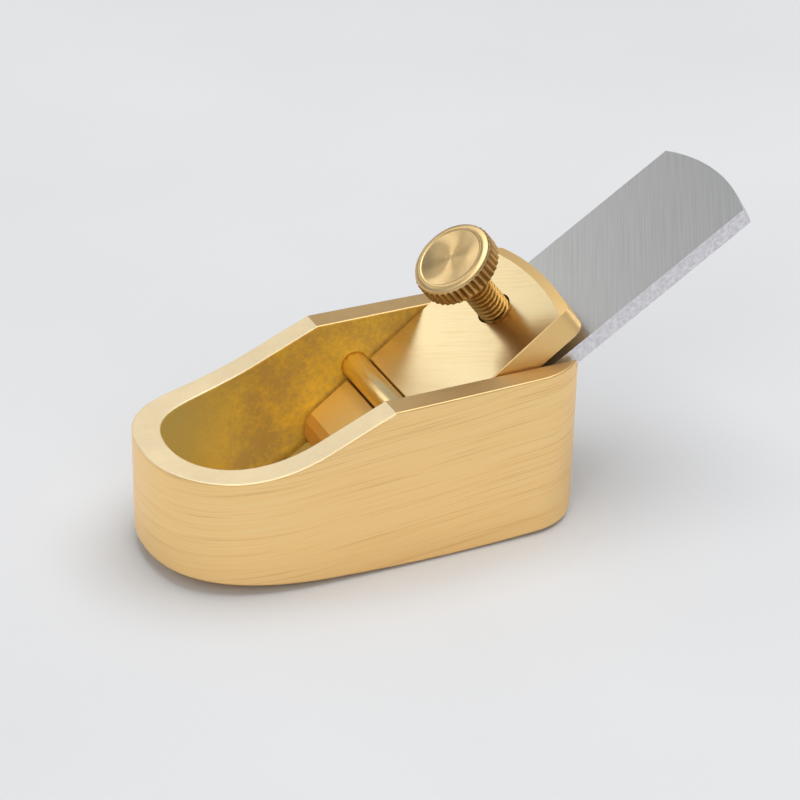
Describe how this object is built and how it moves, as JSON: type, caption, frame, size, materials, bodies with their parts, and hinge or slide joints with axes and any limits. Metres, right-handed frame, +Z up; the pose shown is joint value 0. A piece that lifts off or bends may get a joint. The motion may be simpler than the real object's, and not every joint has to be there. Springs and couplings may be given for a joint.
{
  "type": "hand plane",
  "caption": "Miniature one-handed brass plane with an arched sole, a steel blade on a sloping bed, and a lever cap locked under a cross pin by a thumb screw.",
  "frame": {"origin": "crown of the arched sole, where the plane stands on a flat surface, 22 mm behind the tip of the toe", "axes": "+X from the toe towards the heel and the blade's upper end, +Y across the plane, +Z up from the sole"},
  "size_m": [0.0485, 0.017, 0.0243],
  "materials": {
    "body_brass": "brushed along the sides, satin rim, dull inside",
    "pin_brass": "polished",
    "blade_steel": "surface ground, fine parallel lines",
    "cap_brass": "satin polished",
    "screw_brass": "turned, polished edge, knurled rim"
  },
  "bodies": {
    "body": {"body": "body_brass", "cross_pin": "pin_brass"},
    "blade": {"blade": "blade_steel"},
    "lever_cap": {"lever_cap": "cap_brass"},
    "thumb_screw": {"thumb_screw": "screw_brass"}
  },
  "joints": [
    {"name": "blade_slide", "type": "slide", "parent": "body", "child": "blade", "axis": [0.8387, 0, 0.5446], "range_m": [-0.0004, 0.025]},
    {"name": "thumb_screw_turn", "type": "hinge", "parent": "body", "child": "thumb_screw", "pos_m": [0.00666, 0, 0.01609], "axis": [-0.6078, -0.0872, 0.7893], "range_deg": [0, 390]},
    {"name": "lever_cap_rock", "type": "hinge", "parent": "body", "child": "lever_cap", "pos_m": [-0.0019, 0, 0.0095], "axis": [0, 1, 0], "range_deg": [0, 2.6]}
  ],
  "couplings": [
    {"joint": "lever_cap_rock", "follows": "thumb_screw_turn", "ratio": 0.006631}
  ]
}
